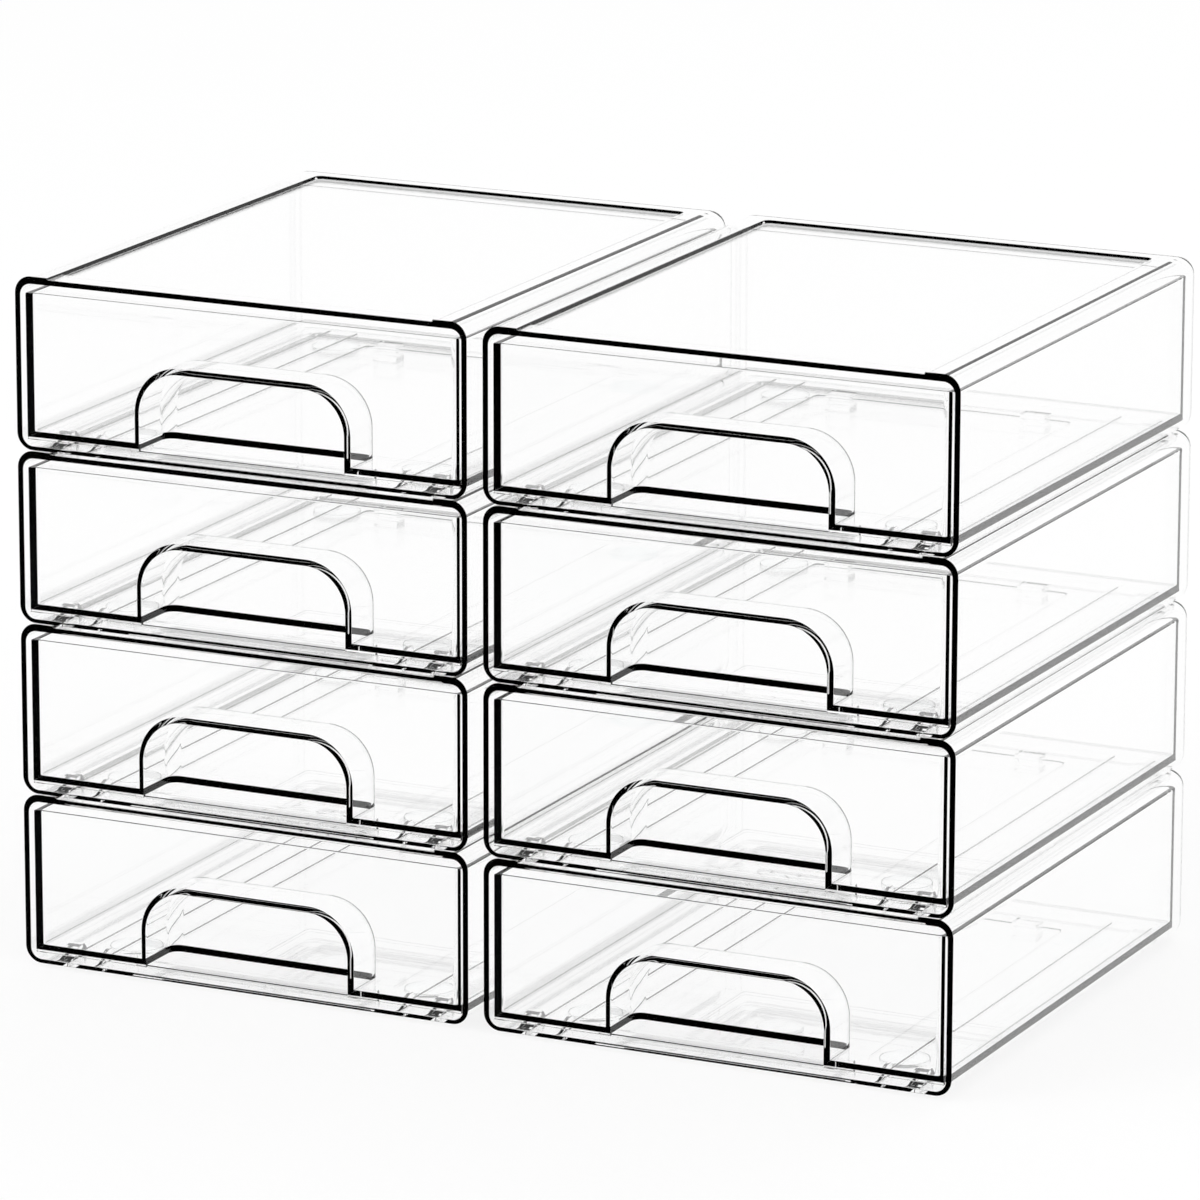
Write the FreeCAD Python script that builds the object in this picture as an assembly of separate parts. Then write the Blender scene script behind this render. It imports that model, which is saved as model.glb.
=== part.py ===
import FreeCAD, Part
import os

# A set of eight stackable drawer units in clear plastic: two columns, four units high.
# Each unit is a casing (a rounded tube, open at the front), a drawer that slides in it,
# and four round feet under the casing. Millimetres, +Z up, drawers open towards -Y.
# The origin is on the table, at the centre of the set's footprint.

# The set
columnGap = 5.8
columnNames = ("left", "right")
unitsHigh = 4

# The casing
casingWidth = 170.0
casingDepth = 206.0
casingHeight = 60.0
outerRadius = 6.0
wall = 2.0
casingFloor = 1.4
ceilingHeight = 57.45
innerRadius = 4.0

# The roof: raised rails at the sides and back, a lower front strip, a sunk stacking panel
railWidth = 12.5
frontStripDepth = 10.0
frontStripDrop = 0.71
panelDrop = 1.2
backRailDepth = 11.0
panelCornerRadius = 2.5

# Feet, which stand in the stacking panel of the unit below
footDiameter = 17.0
footHeight = 1.5
footEdgeRadius = 0.4
footSideInset = 28.0
footFrontInset = 27.0

# Runners on the casing floor: low strips with a ramped pad near the front, which carries the drawer
runnerStart = 3.0
padTop = 9.0
padEnd = 12.0
stripStart = 14.0
runnerEnd = 196.5
padHeight = 2.5
stripHeight = 0.35
wideRunnerInset = 14.1
wideRunnerWidth = 5.0
thinRunnerInset = 27.0
thinRunnerWidth = 1.2
stopRibStart = 9.0
stopRibThickness = 1.5
stopRibHeight = 1.8
stopRibHalfLength = 46.5

# The shallow sunk panel in the casing floor
floorPanelHalfWidth = 46.35
floorPanelFront = 19.0
floorPanelBack = 182.0
floorPanelDepth = 0.3
floorPanelCornerRadius = 3.0

# The drawer
drawerSideGap = 3.3
drawerFront = 1.3
drawerBack = 200.0
drawerBottom = 4.1
drawerTop = 54.0
drawerFrontThickness = 1.4
drawerWall = 1.9
drawerFloor = 2.0
drawerLip = 0.7
drawerInnerRadius = 1.6
drawerBackRadius = 2.4
drawerRimRadius = 0.35

# The finger niche in the drawer's front: an arched scoop with a rounded back, open below
nicheHalfWidth = 40.75
nicheTop = 33.15
nicheDepth = 21.6
nicheRadius = 17.0
nicheBackRadius = 5.5
nicheWall = 1.95

# The two heel blocks under the back of the drawer, which the stop rib catches
heelInner = 30.3
heelOuter = 39.5
heelFront = 174.0
heelLength = 6.0
heelDrop = 2.4

# How far tools run past the faces they cut, how far the inside's rounded corners are pushed out
# through the open front, and what counts as level or parallel when edges are picked
overlap = 1.0
openFrontReach = 12.0
nearEnough = 0.01
parallelCosine = 0.999

pitch = casingHeight - panelDrop + footHeight
halfWidth = casingWidth / 2
halfDepth = casingDepth / 2


def block(x0, x1, y0, y1, z0, z1):
    """A box between two corners."""
    return Part.makeBox(x1 - x0, y1 - y0, z1 - z0, FreeCAD.Vector(x0, y0, z0))


def runsAlong(edge, axis):
    """True for a straight edge parallel to the axis."""
    first, last = edge.Vertexes[0].Point, edge.Vertexes[-1].Point
    return abs((last - first).normalize().dot(axis)) > parallelCosine


def edgesWhere(shape, test):
    """The edges with two ends that pass a test of the edge and its middle point."""
    found = []
    for edge in shape.Edges:
        if len(edge.Vertexes) == 2 and test(edge, edge.CenterOfMass):
            found.append(edge)
    return found


def roundedTube(x, y0, y1, z0, z1, radius):
    """A box with its four long edges and the four edges of its back face rounded."""
    shape = block(-x, x, y0, y1, z0, z1)
    lengthwise = FreeCAD.Vector(0, 1, 0)
    picked = edgesWhere(
        shape, lambda edge, middle: runsAlong(edge, lengthwise) or middle.y > y1 - nearEnough)
    return shape.makeFillet(radius, picked)


def uprightEdges(shape):
    """The upright edges of a block."""
    upright = FreeCAD.Vector(0, 0, 1)
    return edgesWhere(shape, lambda edge, middle: runsAlong(edge, upright))


def roofCuts():
    """The lower front strip and the sunk stacking panel."""
    x = halfWidth - railWidth
    stripLevel = casingHeight - frontStripDrop
    panelLevel = casingHeight - panelDrop
    top = casingHeight + overlap
    strip = block(-x, x, -overlap, frontStripDepth + overlap, stripLevel, top)
    panel = block(-x, x, frontStripDepth, casingDepth - backRailDepth, panelLevel, top)
    backCorners = [edge for edge in uprightEdges(panel) if edge.CenterOfMass.y > halfDepth]
    return strip.fuse(panel.makeFillet(panelCornerRadius, backCorners))


def runner(x, width):
    """One runner: a strip along the floor with its pad near the front."""
    base = casingFloor - overlap
    pad, strip = casingFloor + padHeight, casingFloor + stripHeight
    outline = ((runnerStart, base), (runnerStart, casingFloor), (padTop, pad), (padEnd, pad),
               (stripStart, strip), (runnerEnd, strip), (runnerEnd, base), (runnerStart, base))
    corners = [FreeCAD.Vector(x - width / 2, y, z) for y, z in outline]
    return Part.Face(Part.makePolygon(corners)).extrude(FreeCAD.Vector(width, 0, 0))


def runners():
    """Two wide and two thin runners, and the stop rib across the front."""
    ribs = []
    for side in (-1, 1):
        ribs.append(runner(side * (halfWidth - wideRunnerInset), wideRunnerWidth))
        ribs.append(runner(side * (halfWidth - thinRunnerInset), thinRunnerWidth))
    ribs.append(block(-stopRibHalfLength, stopRibHalfLength, stopRibStart, stopRibStart + stopRibThickness,
                      casingFloor - overlap, casingFloor + stopRibHeight))
    return ribs


def floorPanel():
    """The shallow panel sunk in the casing floor."""
    panel = block(-floorPanelHalfWidth, floorPanelHalfWidth, floorPanelFront, floorPanelBack,
                  casingFloor - floorPanelDepth, casingFloor + overlap)
    return panel.makeFillet(floorPanelCornerRadius, uprightEdges(panel))


def makeCasing():
    """The casing, with its front at y = 0 and its underside at z = 0."""
    outer = roundedTube(halfWidth, 0, casingDepth, 0, casingHeight, outerRadius)
    inner = roundedTube(halfWidth - wall, -openFrontReach, casingDepth - wall,
                        casingFloor, ceilingHeight, innerRadius)
    shell = outer.cut(inner).cut(roofCuts()).cut(floorPanel())
    return shell.fuse(runners()).removeSplitter()


def makeFoot():
    """A round foot with softened edges, hanging from z = 0."""
    disc = Part.makeCylinder(footDiameter / 2, footHeight, FreeCAD.Vector(0, 0, -footHeight))
    rim = [edge for edge in disc.Edges if edge.CenterOfMass.z < -footHeight + nearEnough]
    return disc.makeFillet(footEdgeRadius, rim)


def footPlaces():
    """The names and centres of a casing's four feet."""
    x = halfWidth - footSideInset
    back = casingDepth - footFrontInset
    return {"front_left": (-x, footFrontInset), "front_right": (x, footFrontInset),
            "back_left": (-x, back), "back_right": (x, back)}


def scoop(x, y0, y1, z0, top, radius, backRadius):
    """An upright arch: a box with rounded shoulders, and rounded all round its back face."""
    shape = block(-x, x, y0, y1, z0, top)
    lengthwise = FreeCAD.Vector(0, 1, 0)
    shoulders = edgesWhere(
        shape, lambda edge, middle: runsAlong(edge, lengthwise) and middle.z > top - nearEnough)
    shape = shape.makeFillet(radius, shoulders)
    back = edgesWhere(
        shape, lambda edge, middle: middle.y > y1 - nearEnough and middle.z > z0 + nearEnough)
    return shape.makeFillet(backRadius, back)


def drawerShell(x):
    """The open box of the drawer, with rounded upright corners and a lip under its front."""
    outer = block(-x, x, drawerFront, drawerBack, drawerBottom, drawerTop)
    corners = [edge for edge in uprightEdges(outer) if edge.CenterOfMass.y > halfDepth]
    outer = outer.makeFillet(drawerBackRadius, corners)
    inner = block(-x + drawerWall, x - drawerWall, drawerFront + drawerFrontThickness,
                  drawerBack - drawerWall, drawerBottom + drawerFloor, drawerTop + 2 * overlap)
    inner = inner.makeFillet(drawerInnerRadius, uprightEdges(inner))
    lip = block(-x, x, drawerFront, drawerFront + drawerFrontThickness,
                drawerBottom - drawerLip, drawerBottom + overlap)
    shell = outer.fuse(lip).removeSplitter().cut(inner)
    rim = edgesWhere(shell, lambda edge, middle: middle.z > drawerTop - nearEnough)
    return shell.makeFillet(drawerRimRadius, rim)


def makeDrawer():
    """The drawer in its closed place, in the casing's frame."""
    x = halfWidth - drawerSideGap
    shell = drawerShell(x)
    pocket = scoop(nicheHalfWidth, drawerFront, drawerFront + nicheDepth, drawerBottom,
                   nicheTop, nicheRadius, nicheBackRadius)
    hollow = scoop(nicheHalfWidth - nicheWall, -overlap, drawerFront + nicheDepth - nicheWall,
                   drawerBottom - 2 * overlap, nicheTop - nicheWall, nicheRadius - nicheWall,
                   nicheBackRadius - nicheWall)
    drawer = shell.fuse(pocket).cut(hollow)
    for left, right in ((-heelOuter, -heelInner), (heelInner, heelOuter)):
        drawer = drawer.fuse(block(left, right, heelFront, heelFront + heelLength,
                                   drawerBottom - heelDrop, drawerBottom + overlap))
    return drawer.removeSplitter()


def save(shape, name, place):
    """Writes one piece, moved to its place in the set."""
    moved = shape.copy()
    moved.translate(place)
    if len(moved.Solids) != 1 or not moved.isValid():
        raise ValueError(name + " isn't one sound solid")
    moved.Solids[0].exportStep("parts/" + name + ".step")


os.makedirs("parts", exist_ok=True)
casing = makeCasing()
drawer = makeDrawer()
foot = makeFoot()
for side, column in zip((-1, 1), columnNames):
    for level in range(1, unitsHigh + 1):
        corner = FreeCAD.Vector(side * (casingWidth + columnGap) / 2, -halfDepth,
                                footHeight + (level - 1) * pitch)
        save(casing, f"{column}_casing_{level}", corner)
        save(drawer, f"{column}_drawer_{level}", corner)
        for place, (x, y) in footPlaces().items():
            save(foot, f"{column}_foot_{level}_{place}", corner + FreeCAD.Vector(x, y, 0))
print("casing volume", round(casing.Volume), "drawer volume", round(drawer.Volume))
print("overlap of casing and drawer", round(casing.common(drawer).Volume, 4))
print("height of the set", footHeight + (unitsHigh - 1) * pitch + casingHeight)
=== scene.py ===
import math

import bmesh
import bpy
import numpy as np
from mathutils import Matrix, Vector


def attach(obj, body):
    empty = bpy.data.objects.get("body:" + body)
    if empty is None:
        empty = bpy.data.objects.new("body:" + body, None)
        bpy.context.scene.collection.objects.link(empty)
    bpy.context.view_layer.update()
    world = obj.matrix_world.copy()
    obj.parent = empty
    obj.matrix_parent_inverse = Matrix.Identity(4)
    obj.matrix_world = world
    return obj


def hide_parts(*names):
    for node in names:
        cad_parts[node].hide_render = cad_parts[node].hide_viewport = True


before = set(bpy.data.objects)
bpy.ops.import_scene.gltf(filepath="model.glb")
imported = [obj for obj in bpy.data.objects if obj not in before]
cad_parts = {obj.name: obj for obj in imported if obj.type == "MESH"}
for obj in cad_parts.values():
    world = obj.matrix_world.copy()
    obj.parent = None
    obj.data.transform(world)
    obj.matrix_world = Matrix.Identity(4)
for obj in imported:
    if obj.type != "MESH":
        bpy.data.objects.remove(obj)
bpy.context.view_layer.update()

# Eight stackable drawer units in clear plastic, two columns of four. Shapes are in millimetres in
# one unit's own frame: x from its middle, y back from its front rim, z up from the casing's underside.

print("frame loaded:", len(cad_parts), "CAD nodes")

stack = {"columns": {"left": -87.9, "right": 87.9}, "levels": 4, "front": -103.0, "table": 1.5, "pitch": 60.3}
millimetre = 0.001


# Mesh helpers. Points closer than the reach are one point, and cells whose levels differ by less
# than the step share a level.

joining = {"reach": 0.0005, "smallestFace": 1e-7, "smallestStep": 1e-6}


class Patches:
    # Gathers the patches of one closed piece and welds them where they meet.
    def __init__(self):
        self.points, self.faces, self.count = [], [], 0

    def add(self, points):
        self.points.append(np.asarray(points, float))
        self.count += len(points)

    def sheet(self, grid):
        # A grid of points, rows by columns, becomes quads.
        rows, columns = grid.shape[:2]
        row, column = np.meshgrid(np.arange(rows - 1), np.arange(columns - 1), indexing="ij")
        corner = self.count + row * columns + column
        quads = np.stack([corner, corner + 1, corner + columns + 1, corner + columns], -1)
        self.faces += quads.reshape(-1, 4).tolist()
        self.add(grid.reshape(-1, 3))

    def quads(self, corners):
        # Loose quads, four corners each.
        index = self.count + np.arange(len(corners) * 4).reshape(-1, 4)
        self.faces += index.tolist()
        self.add(corners.reshape(-1, 3))

    def plate(self, outline):
        # One flat face with this outline.
        self.faces.append(list(range(self.count, self.count + len(outline))))
        self.add(outline)

    def weld(self, name):
        # Merges the doubles, drops faces of no size, turns the rest outwards and gives the mesh back.
        draft = bpy.data.meshes.new(name)
        draft.from_pydata(np.concatenate(self.points).tolist(), [], self.faces)
        work = bmesh.new()
        work.from_mesh(draft)
        bmesh.ops.remove_doubles(work, verts=work.verts, dist=joining["reach"])
        flat = [face for face in work.faces if face.calc_area() < joining["smallestFace"]]
        bmesh.ops.delete(work, geom=flat, context="FACES")
        bmesh.ops.recalc_face_normals(work, faces=work.faces)
        if work.calc_volume(signed=True) < 0:
            bmesh.ops.reverse_faces(work, faces=work.faces)
        loose = [edge for edge in work.edges if not edge.is_manifold]
        print(name, "faces:", len(work.faces), "open edges:", len(loose), "mm3:", round(work.calc_volume()))
        work.to_mesh(draft)
        work.free()
        return draft


def arc(centre, radius, start, end, steps):
    # Points round a circle from one angle to another, in degrees.
    angle = np.radians(np.linspace(start, end, steps + 1))
    return np.stack([centre[0] + radius * np.cos(angle), centre[1] + radius * np.sin(angle)], -1)


def quarter(steps):
    # A quarter turn: how far along (sine) and how far in (one less cosine) at each step.
    angle = np.linspace(0, math.pi / 2, steps + 1)
    return np.sin(angle), 1 - np.cos(angle)


# The casing is a rounded section carried along y: outside from the back to the front, round the
# rim, and inside to the back again. Each column of the outer section has its twin in the inner one.

casing = {"halfWidth": 85.0, "depth": 206.0, "height": 60.0, "radius": 6.0, "wall": 2.0, "floor": 1.4,
          "ceiling": 57.45, "innerRadius": 4.0, "rimRound": 0.15, "cornerSteps": 12, "rimSteps": 3}
roof = {"halfWidth": 72.5, "back": 195.0, "cornerRadius": 2.5, "cornerSteps": 8, "panelDrop": 1.2,
        "stripDepth": 10.0, "stripDrop": 0.71, "draft": 0.04}
runner = {"start": 3.0, "padTop": 9.0, "padEnd": 12.0, "stripStart": 14.0, "end": 196.5, "pad": 2.5,
          "strip": 0.35, "spans": ((57.4, 58.6), (68.4, 73.4)), "draft": 0.05, "round": 0.2,
          "roundShare": 0.5, "roundSteps": 3}
stopRib = {"halfLength": 46.5, "front": 9.0, "back": 10.5, "height": 1.8, "draft": 0.1}
floorPanel = {"halfWidth": 46.35, "front": 19.0, "back": 182.0, "depth": 0.3, "cornerRadius": 3.0,
              "cornerSteps": 8, "draft": 0.03}


def floorProfile():
    # The floor's columns from the middle out: the sunk panel's edge, the stop rib's end, the runners.
    # For each column its x, how far it lies below a full runner's top, and what it belongs to.
    panel = floorPanel["halfWidth"] - floorPanel["cornerRadius"]
    x = [0.0, panel - floorPanel["draft"], panel,
         stopRib["halfLength"] - stopRib["draft"], stopRib["halfLength"]]
    below, onRunner, onStop = [0.0] * len(x), [0] * len(x), [1, 1, 1, 1, 0]
    along, down = quarter(runner["roundSteps"])
    inward, fall = runner["round"] * (1 - along[::-1]), runner["round"] * down[::-1]
    for low, high in runner["spans"]:
        x += [low - runner["draft"], *(low + inward), *(high - inward[::-1]), high + runner["draft"]]
        below += [0.0, *fall, *fall[::-1], 0.0]
        onRunner += [0] + [1] * (2 * len(fall)) + [0]
        onStop += [0] * (2 * len(fall) + 2)
    x.append(casing["halfWidth"] - casing["radius"])
    return np.array(x), np.array(below + [0.0]), np.array(onRunner + [0]), np.array(onStop + [0])


floorX, floorBelow, floorOnRunner, floorOnStop = floorProfile()


def casingSection(low, high, half, radius, inset, floorX, floorRise, edge, drop):
    # Half a section from the floor's middle round to the roof's middle, then its mirror image.
    # The flats move in by the inset while the corners keep their centres, which rounds the back.
    left = radius - inset
    floor = np.stack([floorX, low + inset + floorRise], -1)
    lower = arc((half - radius, low + radius), left, -90, 0, casing["cornerSteps"])[1:]
    upper = arc((half - radius, high - radius), left, 0, 90, casing["cornerSteps"])
    top = high - inset
    ceiling = np.array([[edge, top], [edge - roof["draft"], top - drop], [0.0, top - drop]])
    right = np.concatenate([floor, lower, upper, ceiling])
    return np.concatenate([right, right[1:-1][::-1] * [-1, 1]])


def outerSection(inset, edge, drop=0.0):
    # The outside: a flat underside, and a roof that steps down by the drop inside its raised rails.
    return casingSection(0.0, casing["height"], casing["halfWidth"], casing["radius"], inset,
                         floorX, np.zeros(len(floorX)), edge, drop)


def innerSection(inset=0.0, height=0.0, stop=0.0, widen=0.0, sink=0.0):
    # Runners this high with softly rounded tops, the stop rib, and the floor panel widened and sunk.
    # The rounding takes at most its share of a runner's height.
    soft = floorBelow * min(1, runner["roundShare"] * height / runner["round"])
    rise = floorOnRunner * np.maximum(height - soft, 0) + floorOnStop * stop
    rise[:2] -= sink
    x = floorX.copy()
    x[1:3] += widen
    return casingSection(casing["floor"], casing["ceiling"], casing["halfWidth"] - casing["wall"],
                         casing["innerRadius"], inset, x, rise, roof["halfWidth"], 0.0)


def casingMesh():
    # Stations run from the outer back face forward and then inside to the inner back face.
    stations, sections = [], []

    def station(y, points):
        stations.append(y)
        sections.append(points)

    along, inward = quarter(casing["cornerSteps"])
    narrow = roof["halfWidth"] - roof["cornerRadius"]
    for go, shift in zip(along[::-1], inward[::-1]):
        station(casing["depth"] - casing["radius"] * (1 - go), outerSection(casing["radius"] * shift, narrow))
    station(roof["back"], outerSection(0, narrow))
    go, shift = quarter(roof["cornerSteps"])
    for sine, lost in zip(go[::-1], shift[::-1]):
        width = roof["halfWidth"] - roof["cornerRadius"] * lost
        station(roof["back"] - roof["cornerRadius"] * (1 - sine), outerSection(0, width, roof["panelDrop"]))
    station(roof["stripDepth"], outerSection(0, roof["halfWidth"], roof["panelDrop"]))
    rim = outerSection(0, roof["halfWidth"], roof["stripDrop"])
    station(roof["stripDepth"], rim)
    mouth = innerSection()
    inwards = (mouth - rim) / np.linalg.norm(mouth - rim, axis=1, keepdims=True)
    go, shift = quarter(casing["rimSteps"])
    for sine, lost in zip(go, shift):
        station(casing["rimRound"] * (1 - sine), rim + inwards * casing["rimRound"] * lost)
    for sine, lost in zip(go[::-1], shift[::-1]):
        station(casing["rimRound"] * (1 - sine), mouth - inwards * casing["rimRound"] * lost)
    station(runner["start"], innerSection())
    for y, height, stop in ((runner["padTop"], runner["pad"], 0), (stopRib["front"], runner["pad"], 1),
                            (stopRib["back"], runner["pad"], 1), (stopRib["back"], runner["pad"], 0),
                            (runner["padEnd"], runner["pad"], 0), (runner["stripStart"], runner["strip"], 0)):
        station(y, innerSection(0, height, stop * stopRib["height"]))
    go, shift = quarter(floorPanel["cornerSteps"])
    radius = floorPanel["cornerRadius"]
    station(floorPanel["front"], innerSection(0, runner["strip"]))
    for sine, lost in zip(go, shift):
        station(floorPanel["front"] + radius * lost,
                innerSection(0, runner["strip"], 0, radius * sine, floorPanel["depth"]))
    for sine, lost in zip(go[::-1], shift[::-1]):
        station(floorPanel["back"] - radius * lost,
                innerSection(0, runner["strip"], 0, radius * sine, floorPanel["depth"]))
    station(floorPanel["back"], innerSection(0, runner["strip"]))
    station(runner["end"], innerSection(0, runner["strip"]))
    station(runner["end"], innerSection())
    depth = casing["depth"] - casing["wall"] - casing["innerRadius"]
    for go, shift in zip(along, inward):
        station(depth + casing["innerRadius"] * go, innerSection(casing["innerRadius"] * shift))

    y = np.array(stations)[:, None, None]
    shape = np.stack(sections)
    grid = np.concatenate([shape[:, :, :1], np.broadcast_to(y, shape[:, :, :1].shape), shape[:, :, 1:]], -1)
    patches = Patches()
    patches.sheet(np.concatenate([grid, grid[:, :1]], 1))
    patches.plate(grid[0])
    patches.plate(grid[-1])
    return patches.weld("casing")


# The drawer is an open box with a scoop pushed into the foot of its front. Its flat faces are single
# plates, its corners and its scoop are sheets, and its floor is a terrace of rectangular cells.

drawer = {"halfWidth": 81.7, "front": 1.3, "back": 200.0, "bottom": 4.1, "top": 54.0, "frontWall": 1.4,
          "wall": 1.9, "floor": 2.0, "lip": 0.7, "backRadius": 2.4, "innerRadius": 1.6, "rimRound": 0.35,
          "cornerSteps": 8, "rimSteps": 4}
niche = {"halfWidth": 40.75, "top": 33.15, "depth": 21.6, "radius": 17.0, "backRadius": 5.5, "wall": 1.95,
         "archSteps": 24, "backSteps": 10}
heel = {"inner": 30.3, "outer": 39.5, "front": 174.0, "back": 180.0, "drop": 2.4, "margin": 1.0}


def lift(points, axis, value):
    # Puts flat points on the plane where one axis has this value.
    points = np.asarray(points, float)
    return np.insert(points, axis, value, axis=1)


def planLoop(half, front, back, frontRadius, backRadius):
    # A rectangle seen from above with rounded corners, from the front left corner round to the right.
    steps = drawer["cornerSteps"]
    return np.concatenate([
        arc((-half + frontRadius, front + frontRadius), frontRadius, 180, 270, steps),
        arc((half - frontRadius, front + frontRadius), frontRadius, -90, 0, steps),
        arc((half - backRadius, back - backRadius), backRadius, 0, 90, steps),
        arc((-half + backRadius, back - backRadius), backRadius, 90, 180, steps)])


def archPath(half, top, radius, foot, inset):
    # An arch from its left foot over its two round shoulders to its right foot, as (x, z).
    left = arc((-half + radius, top - radius), radius - inset, 180, 90, niche["archSteps"])
    right = left[::-1] * [-1, 1]
    x = half - inset
    return np.concatenate([[[-x, foot], [-x, drawer["bottom"]]], left, right,
                           [[x, drawer["bottom"]], [x, foot]]])


def scoop(patches, half, top, radius, backRadius, depth, foot, frontRows):
    # The arch carried back from the front and drawn in round its back edge, closed by a flat back.
    rows = list(frontRows)
    go, lost = quarter(niche["backSteps"])
    rows += [(depth - backRadius * (1 - sine), foot, backRadius * shift) for sine, shift in zip(go, lost)]
    grid = np.stack([lift(archPath(half, top, radius, low, inset), 1, y) for y, low, inset in rows])
    if foot > drawer["bottom"]:
        grid = grid[:, [0] + list(range(2, grid.shape[1] - 2)) + [-1]]
    patches.sheet(grid)
    patches.plate(grid[-1])
    return grid


def terrace(patches, x, y, level):
    # A stepped plane: flat cells at their own levels, and upright faces between unequal neighbours.
    cellX = np.stack([x[:-1], x[1:], x[1:], x[:-1]], -1)[:, None, :] + 0 * y[None, :-1, None]
    cellY = np.stack([y[:-1], y[:-1], y[1:], y[1:]], -1)[None, :, :] + 0 * x[:-1, None, None]
    cellZ = np.broadcast_to(level[:, :, None], cellX.shape)
    patches.quads(np.stack([cellX, cellY, cellZ], -1).reshape(-1, 4, 3))
    for axis in (0, 1):
        low = level[:-1, :] if axis == 0 else level[:, :-1]
        high = level[1:, :] if axis == 0 else level[:, 1:]
        i, j = np.nonzero(np.abs(high - low) > joining["smallestStep"])
        if axis == 0:
            a, b = np.stack([x[i + 1], y[j]], -1), np.stack([x[i + 1], y[j + 1]], -1)
        else:
            a, b = np.stack([x[i], y[j + 1]], -1), np.stack([x[i + 1], y[j + 1]], -1)
        first, last = low[i, j][:, None], high[i, j][:, None]
        patches.quads(np.stack([np.hstack([a, first]), np.hstack([b, first]), np.hstack([b, last]),
                                np.hstack([a, last])], 1))


def notchLine(grid):
    # The foot of the scoop: back along its left leg, across, and forward along its right leg.
    return np.concatenate([grid[:, 0], grid[::-1, -1]])


def drawerMesh():
    patches = Patches()
    half, front, back, bottom = drawer["halfWidth"], drawer["front"], drawer["back"], drawer["bottom"]
    inHalf, inFront, inBack = half - drawer["wall"], front + drawer["frontWall"], back - drawer["wall"]
    floorTop, lipFoot = bottom + drawer["floor"], bottom - drawer["lip"]
    rim = drawer["top"] - drawer["rimRound"]
    steps = drawer["cornerSteps"] + 1

    # The rim: the outer outline drawn in over the top, then the inner one drawn out and down.
    go, lost = quarter(drawer["rimSteps"])
    rows = []
    for sine, shift in zip(drawer["rimRound"] * go, drawer["rimRound"] * lost):
        loop = planLoop(half - shift, front + shift, back - shift, 0.0, drawer["backRadius"] - shift)
        rows.append(lift(loop, 2, rim + sine))
    for sine, shift in zip(drawer["rimRound"] * go[::-1], drawer["rimRound"] * lost[::-1]):
        loop = planLoop(inHalf + shift, inFront - shift, inBack + shift,
                        drawer["innerRadius"] + shift, drawer["innerRadius"] + shift)
        rows.append(lift(loop, 2, rim + sine))
    grid = np.stack(rows)
    patches.sheet(np.concatenate([grid, grid[:, :1]], 1))
    outer, inner = grid[0][:, :2], grid[-1][:, :2]

    # The scoop: its hollow in front, its shell behind.
    hollow = scoop(patches, niche["halfWidth"] - niche["wall"], niche["top"] - niche["wall"],
                   niche["radius"] - niche["wall"], niche["backRadius"] - niche["wall"],
                   front + niche["depth"] - niche["wall"], bottom,
                   ((front, lipFoot, 0), (inFront, lipFoot, 0), (inFront, bottom, 0)))
    shell = scoop(patches, niche["halfWidth"], niche["top"], niche["radius"], niche["backRadius"],
                  front + niche["depth"], floorTop, ((inFront, floorTop, 0),))

    # The underside: rectangular cells round the two heel blocks, and plates in front and behind.
    x = np.array([-half, -heel["outer"], -heel["inner"], heel["inner"], heel["outer"], half])
    y = np.array([heel["front"] - heel["margin"], heel["front"], heel["back"], heel["back"] + heel["margin"]])
    level = np.full((len(x) - 1, len(y) - 1), bottom)
    level[1, 1] = level[3, 1] = bottom - heel["drop"]
    terrace(patches, x, y, level)
    cellFront = lift(np.stack([x[::-1], np.full(len(x), y[0])], -1), 2, bottom)
    cellBack = lift(np.stack([x, np.full(len(x), y[-1])], -1), 2, bottom)
    patches.plate(np.concatenate([[(-half, inFront, bottom)], notchLine(hollow[2:]),
                                  [(half, inFront, bottom)], cellFront]))
    patches.plate(np.concatenate([cellBack, lift(outer[2 * steps:], 2, bottom)]))

    # The floor inside is one plate round the scoop.
    patches.plate(np.concatenate([lift(inner[:steps], 2, floorTop), notchLine(shell),
                                  lift(inner[steps:], 2, floorTop)]))

    # The lip under the front, on each side of the scoop.
    edge = niche["halfWidth"] - niche["wall"]
    for x0, x1 in ((-half, -edge), (edge, half)):
        patches.plate([(x0, front, lipFoot), (x1, front, lipFoot),
                       (x1, inFront, lipFoot), (x0, inFront, lipFoot)])
        patches.plate([(x0, inFront, lipFoot), (x1, inFront, lipFoot),
                       (x1, inFront, bottom), (x0, inFront, bottom)])

    # The upright faces, outside and inside.
    patches.plate(np.concatenate([[(-half, front, lipFoot)], hollow[0],
                                  [(half, front, lipFoot), (half, front, rim), (-half, front, rim)]]))
    foot = inHalf - drawer["innerRadius"]
    patches.plate(np.concatenate([[(-foot, inFront, floorTop)], shell[0],
                                  [(foot, inFront, floorTop), (foot, inFront, rim), (-foot, inFront, rim)]]))
    outEnd, inEnd = back - drawer["backRadius"], inBack - drawer["innerRadius"]
    for sign in (-1, 1):
        line = [(inFront, lipFoot), (inFront, bottom), *((value, bottom) for value in y), (outEnd, bottom)]
        patches.plate(lift([(front, lipFoot), *line, (outEnd, rim), (front, rim)], 0, sign * half))
        start = inFront + drawer["innerRadius"]
        patches.plate(lift([(start, floorTop), (inEnd, floorTop), (inEnd, rim), (start, rim)],
                           0, sign * inHalf))
    for loop, low, corners in ((outer, bottom, (2, 3)), (inner, floorTop, (0, 1, 2, 3))):
        for k in corners:
            corner = loop[k * steps:(k + 1) * steps]
            patches.sheet(np.stack([lift(corner, 2, low), lift(corner, 2, rim)]))
        a, b = loop[3 * steps - 1], loop[3 * steps]
        patches.plate([(*a, low), (*b, low), (*b, rim), (*a, rim)])
    return patches.weld("drawer")


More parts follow.
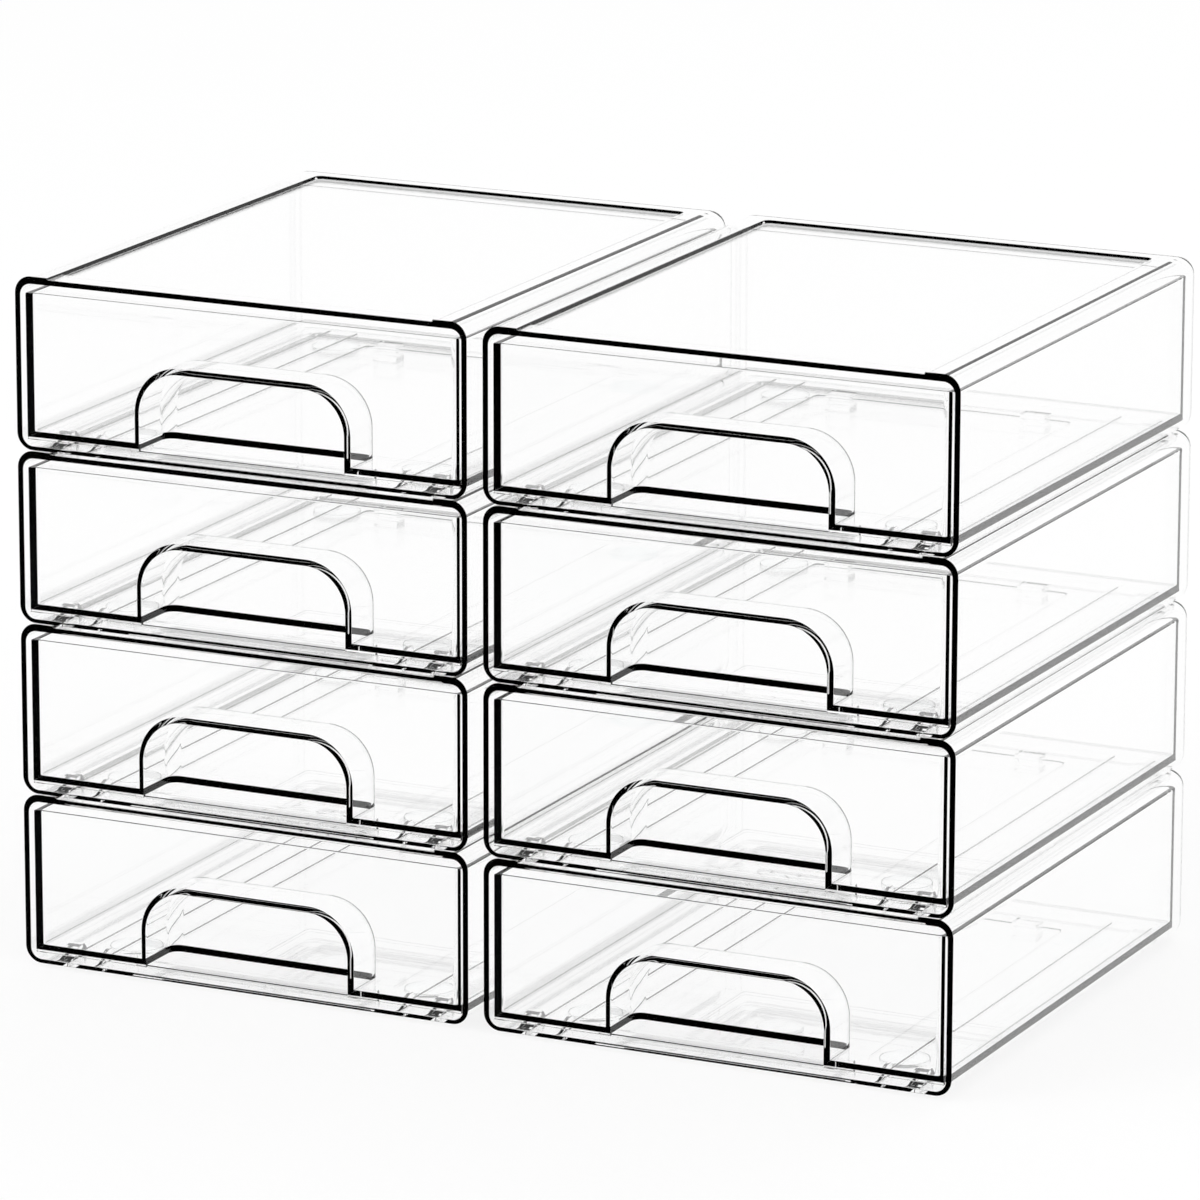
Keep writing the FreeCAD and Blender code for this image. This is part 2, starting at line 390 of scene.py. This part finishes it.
# The foot is a turned profile: a disc with a soft lower edge. It keeps a hair's air gap to the
# plastic above and below, as a pad that isn't wetted to it does.

foot = {"radius": 8.5, "top": -0.02, "bottom": -1.47, "edge": 0.4, "edgeSteps": 5, "topEdge": 0.1,
        "turns": 64,
        "places": {"front_left": (-57.0, 27.0), "front_right": (57.0, 27.0),
                   "back_left": (-57.0, 179.0), "back_right": (57.0, 179.0)}}


def footMesh():
    # The profile from the top edge down, as distance from the middle and height, turned about z.
    bend = arc((foot["radius"] - foot["edge"], foot["bottom"] + foot["edge"]), foot["edge"], 0, -90,
               foot["edgeSteps"])
    profile = np.concatenate([[(foot["radius"] - foot["topEdge"], foot["top"]),
                               (foot["radius"], foot["top"] - foot["topEdge"])], bend])
    turn = np.linspace(0, 2 * math.pi, foot["turns"] + 1)[None, :]
    grid = np.stack([profile[:, :1] * np.cos(turn), profile[:, :1] * np.sin(turn),
                     np.broadcast_to(profile[:, 1:], (len(profile), foot["turns"] + 1))], -1)
    patches = Patches()
    patches.sheet(grid)
    patches.plate(grid[0, :-1])
    patches.plate(grid[-1, :-1])
    return patches.weld("foot")


# Materials

def linear(code):
    # An sRGB hex colour as linear red, green, blue and alpha.
    value = np.array([int(code[i:i + 2], 16) / 255 for i in (1, 3, 5)])
    return (*np.where(value <= 0.04045, value / 12.92, ((value + 0.055) / 1.055) ** 2.4), 1.0)


def addNode(tree, kind, inputs=(), **settings):
    # Adds a node, sets its properties, and fills or links its inputs.
    node = tree.nodes.new(kind)
    for name, value in settings.items():
        setattr(node, name, value)
    for name, value in dict(inputs).items():
        if isinstance(value, bpy.types.NodeSocket):
            tree.links.new(value, node.inputs[name])
        else:
            node.inputs[name].default_value = value
    return node


# Clear acrylic, injection moulded: colourless, with a polished skin and hardly visible long flow marks,
# whose width and length are in millimetres.
# mirrorsKept is how many full mirrorings inside stay lit before the edges get painted shade in black.
acrylic = {"ior": 1.49, "clear": "#ffffff", "flow": "#fefefe", "flowShare": 0.3, "flowWidth": 14.0,
           "flowLength": 90.0, "flowDetail": 2.0, "polish": 0.0, "mirrorsKept": 2.5, "facesBending": 7.5}
# Clear silicone, cast: bends light less, with a faint cool cloudiness and a smooth skin.
silicone = {"ior": 1.41, "clear": "#ffffff", "flow": "#fafcfc", "flowShare": 0.6, "flowWidth": 5.0,
            "flowLength": 5.0, "flowDetail": 2.0, "polish": 0.0, "mirrorsKept": 1.5, "facesBending": 7.5}
fullMirror = 0.999


def clearMoulding(name, look):
    # A clear moulding. It bends light through it and mirrors by its angle, less what it mirrors head-on.
    # Light caught inside by full mirroring is painted black after a few mirrorings: painted shade that
    # blackens the edges.
    # Light that has crossed many faces goes straight on, so that the stack's far walls stay clear.
    material = bpy.data.materials.new(name)
    material.use_nodes = True
    tree = material.node_tree
    tree.nodes.clear()

    def worked(operation, first, second):
        return addNode(tree, "ShaderNodeMath", {0: first, 1: second}, operation=operation).outputs[0]

    place = addNode(tree, "ShaderNodeTexCoord")
    sizes = (look["flowWidth"], look["flowLength"], look["flowWidth"])
    stretch = tuple(1 / (millimetre * size) for size in sizes)
    along = addNode(tree, "ShaderNodeMapping", {"Vector": place.outputs["Object"], "Scale": stretch})
    flow = addNode(tree, "ShaderNodeTexNoise", {"Vector": along.outputs[0], "Scale": 1.0,
                                                "Detail": look["flowDetail"]})
    cloud = worked("MULTIPLY", flow.outputs["Fac"], look["flowShare"])
    tint = addNode(tree, "ShaderNodeMix", {0: cloud, 6: linear(look["clear"]), 7: linear(look["flow"])},
                   data_type="RGBA")
    bent = addNode(tree, "ShaderNodeBsdfRefraction", {"Color": tint.outputs[2], "Roughness": look["polish"],
                                                      "IOR": look["ior"]})
    straight = addNode(tree, "ShaderNodeBsdfRefraction", {"Color": tint.outputs[2],
                                                          "Roughness": look["polish"], "IOR": 1.0})
    past = addNode(tree, "ShaderNodeLightPath")
    far = worked("GREATER_THAN", past.outputs["Transmission Depth"], look["facesBending"])
    through = addNode(tree, "ShaderNodeMixShader", {0: far, 1: bent.outputs[0], 2: straight.outputs[0]})
    fresnel = addNode(tree, "ShaderNodeFresnel", {"IOR": look["ior"]}).outputs[0]
    facing = addNode(tree, "ShaderNodeNewGeometry").outputs["Backfacing"]
    full = worked("MULTIPLY", facing, worked("GREATER_THAN", fresnel, fullMirror))
    # Painted shade: once a ray has fully mirrored inside more than mirrorsKept times, the mirror colour is
    # black.
    lost = worked("MULTIPLY", full, worked("GREATER_THAN", past.outputs["Glossy Depth"], look["mirrorsKept"]))
    paintedEdgeShade = addNode(tree, "ShaderNodeMix", {0: lost, 6: linear("#ffffff"), 7: linear("#000000")},
                    data_type="RGBA")
    mirror = addNode(tree, "ShaderNodeBsdfGlossy", {"Color": paintedEdgeShade.outputs[2], "Roughness": look["polish"]})
    headOn = ((look["ior"] - 1) / (look["ior"] + 1)) ** 2
    slant = addNode(tree, "ShaderNodeMapRange", {"Value": fresnel, "From Min": headOn})
    near = worked("SUBTRACT", 1.0, far)
    share = worked("MULTIPLY", slant.outputs[0], near)
    surface = addNode(tree, "ShaderNodeMixShader", {0: share, 1: through.outputs[0], 2: mirror.outputs[0]})
    addNode(tree, "ShaderNodeOutputMaterial", {"Surface": surface.outputs[0]})
    return material


# Placing the pieces

finish = {"bevel": 0.12, "bevelSteps": 2, "bevelAngle": 32.0, "normalWeight": 80}


def place(draft, name, corner, body, node, slot, material, bevel=True):
    # A copy of the draft mesh in metres at its place in the stack, as its own piece.
    mesh = draft.copy()
    mesh.name = name
    points = np.empty(len(mesh.vertices) * 3)
    mesh.vertices.foreach_get("co", points)
    points = (points.reshape(-1, 3) + corner) * millimetre
    mesh.vertices.foreach_set("co", points.ravel())
    mesh.materials.append(material)
    mesh.shade_smooth()
    piece = bpy.data.objects.new(name, mesh)
    bpy.context.scene.collection.objects.link(piece)
    if bevel:
        edge = piece.modifiers.new("edges", "BEVEL")
        edge.width, edge.segments = finish["bevel"] * millimetre, finish["bevelSteps"]
        edge.limit_method, edge.angle_limit = "ANGLE", math.radians(finish["bevelAngle"])
        edge.use_clamp_overlap = False
        edge.miter_outer = "MITER_ARC"
    even = piece.modifiers.new("normals", "WEIGHTED_NORMAL")
    even.weight = finish["normalWeight"]
    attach(piece, body)
    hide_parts(node)


def buildStack():
    casingDraft, drawerDraft, footDraft = casingMesh(), drawerMesh(), footMesh()
    casingLook = clearMoulding("mouldedClearAcrylicCasing", acrylic)
    drawerLook = clearMoulding("mouldedClearAcrylicDrawer", acrylic)
    footLook = clearMoulding("castClearSilicone", silicone)
    for side, x in stack["columns"].items():
        for level in range(1, stack["levels"] + 1):
            corner = np.array([x, stack["front"], stack["table"] + (level - 1) * stack["pitch"]])
            unit = "base" if level == 1 else f"{side}_unit_{level}"
            tag = f"{side}_{level}"
            place(casingDraft, "casing_" + tag, corner, unit, f"{side}_casing_{level}",
                  "casing_clear_plastic", casingLook)
            place(drawerDraft, "drawer_" + tag, corner, f"{side}_tray_{level}", f"{side}_drawer_{level}",
                  "drawer_clear_plastic", drawerLook)
            for spot, (dx, dy) in foot["places"].items():
                place(footDraft, f"foot_{tag}_{spot}", corner + (dx, dy, 0), unit,
                      f"{side}_foot_{level}_{spot}", "foot_clear_silicone", footLook, bevel=False)
    for draft in (casingDraft, drawerDraft, footDraft):
        bpy.data.meshes.remove(draft)


buildStack()
print("pieces built")


# Stage: a white floor and a white surround, plain soft light, and the camera. Places and sizes are
# in metres.

studio = {"floorSize": 6.0, "floorDrop": 0.0002, "floorPaint": "#f4f4f4", "floorPatch": "#f8f8f8",
          "patchScale": 4.0, "seenWhite": 0.85, "surround": 0.8,
          "lamps": (((-1.6, -1.8, 2.2), 22.0), ((1.8, -1.2, 1.9), 12.0), ((0.2, 1.8, 2.3), 14.0)),
          "lampSize": 1.6, "lampsAim": (0, 0, 0.12)}
view = {"place": (1.12892, -2.34931, 0.79773), "turn": 25.7429, "dip": 14.4648, "roll": 0.1046,
        "lens": 236.15, "sensor": 36.0, "reach": 20.0}
bounces = {"all": 48, "through": 48, "mirrored": 24, "matt": 3, "transparent": 32}


def seenDirectly(tree):
    # 1 for rays that show the ground itself: straight from the camera, mirrored, or through clear parts.
    ray = addNode(tree, "ShaderNodeLightPath")
    first = addNode(tree, "ShaderNodeMath", {0: ray.outputs["Is Camera Ray"],
                                             1: ray.outputs["Is Glossy Ray"]}, operation="MAXIMUM")
    return addNode(tree, "ShaderNodeMath", {0: first.outputs[0], 1: ray.outputs["Is Transmission Ray"]},
                   operation="MAXIMUM").outputs[0]


def buildFloor():
    # Matt white board. A share of its own shading stays, so that it keeps the object's shadow.
    size = studio["floorSize"] / 2
    mesh = bpy.data.meshes.new("studioFloor")
    z = -studio["floorDrop"]
    corners = [(-size, -size, z), (size, -size, z), (size, size, z), (-size, size, z)]
    mesh.from_pydata(corners, [], [(0, 1, 2, 3)])
    floor = bpy.data.objects.new("studioFloor", mesh)
    bpy.context.scene.collection.objects.link(floor)
    material = bpy.data.materials.new("mattWhiteBoard")
    material.use_nodes = True
    tree = material.node_tree
    tree.nodes.clear()
    place = addNode(tree, "ShaderNodeTexCoord")
    grain = addNode(tree, "ShaderNodeTexNoise", {"Vector": place.outputs["Object"],
                                                 "Scale": studio["patchScale"]})
    paint = addNode(tree, "ShaderNodeMix", {0: grain.outputs["Fac"], 6: linear(studio["floorPaint"]),
                                            7: linear(studio["floorPatch"])}, data_type="RGBA")
    board = addNode(tree, "ShaderNodeBsdfDiffuse", {"Color": paint.outputs[2]})
    white = addNode(tree, "ShaderNodeEmission", {"Color": linear("#ffffff"), "Strength": 1.0})
    seen = addNode(tree, "ShaderNodeMath", {0: seenDirectly(tree), 1: studio["seenWhite"]},
                   operation="MULTIPLY")
    mix = addNode(tree, "ShaderNodeMixShader", {0: seen.outputs[0], 1: board.outputs[0], 2: white.outputs[0]})
    addNode(tree, "ShaderNodeOutputMaterial", {"Surface": mix.outputs[0]})
    mesh.materials.append(material)


def buildLight():
    world = bpy.data.worlds.new("whiteSurround")
    bpy.context.scene.world = world
    world.use_nodes = True
    tree = world.node_tree
    tree.nodes.clear()
    strength = addNode(tree, "ShaderNodeMapRange", {"Value": seenDirectly(tree), "To Min": studio["surround"],
                                                    "To Max": 1.0})
    ground = addNode(tree, "ShaderNodeBackground", {"Color": linear("#ffffff"),
                                                    "Strength": strength.outputs[0]})
    addNode(tree, "ShaderNodeOutputWorld", {"Surface": ground.outputs[0]})
    for number, (spot, power) in enumerate(studio["lamps"]):
        lamp = bpy.data.lights.new(f"softBox{number}", "AREA")
        lamp.shape, lamp.size, lamp.energy = "DISK", studio["lampSize"], power
        light = bpy.data.objects.new(f"softBox{number}", lamp)
        light.location = spot
        towards = Vector(studio["lampsAim"]) - Vector(spot)
        light.rotation_euler = towards.to_track_quat("-Z", "Y").to_euler()
        light.visible_glossy = light.visible_transmission = light.visible_camera = False
        bpy.context.scene.collection.objects.link(light)


def buildCamera():
    camera = bpy.data.objects.new("camera", bpy.data.cameras.new("camera"))
    camera.data.lens, camera.data.sensor_width = view["lens"], view["sensor"]
    camera.data.clip_end = view["reach"]
    turn, dip = math.radians(view["turn"]), math.radians(90 - view["dip"])
    aim = Matrix.Rotation(turn, 4, "Z") @ Matrix.Rotation(dip, 4, "X") @ \
        Matrix.Rotation(math.radians(view["roll"]), 4, "Z")
    camera.matrix_world = Matrix.Translation(view["place"]) @ aim
    bpy.context.scene.collection.objects.link(camera)
    bpy.context.scene.camera = camera


buildFloor()
buildLight()
buildCamera()
print("stage built")

# Light passes many clear walls and keeps its weak mirror images in them.
scene = bpy.context.scene
scene.view_settings.view_transform = "Standard"
scene.cycles.max_bounces = bounces["all"]
scene.cycles.transmission_bounces = bounces["through"]
scene.cycles.glossy_bounces = bounces["mirrored"]
scene.cycles.diffuse_bounces = bounces["matt"]
scene.cycles.transparent_max_bounces = bounces["transparent"]
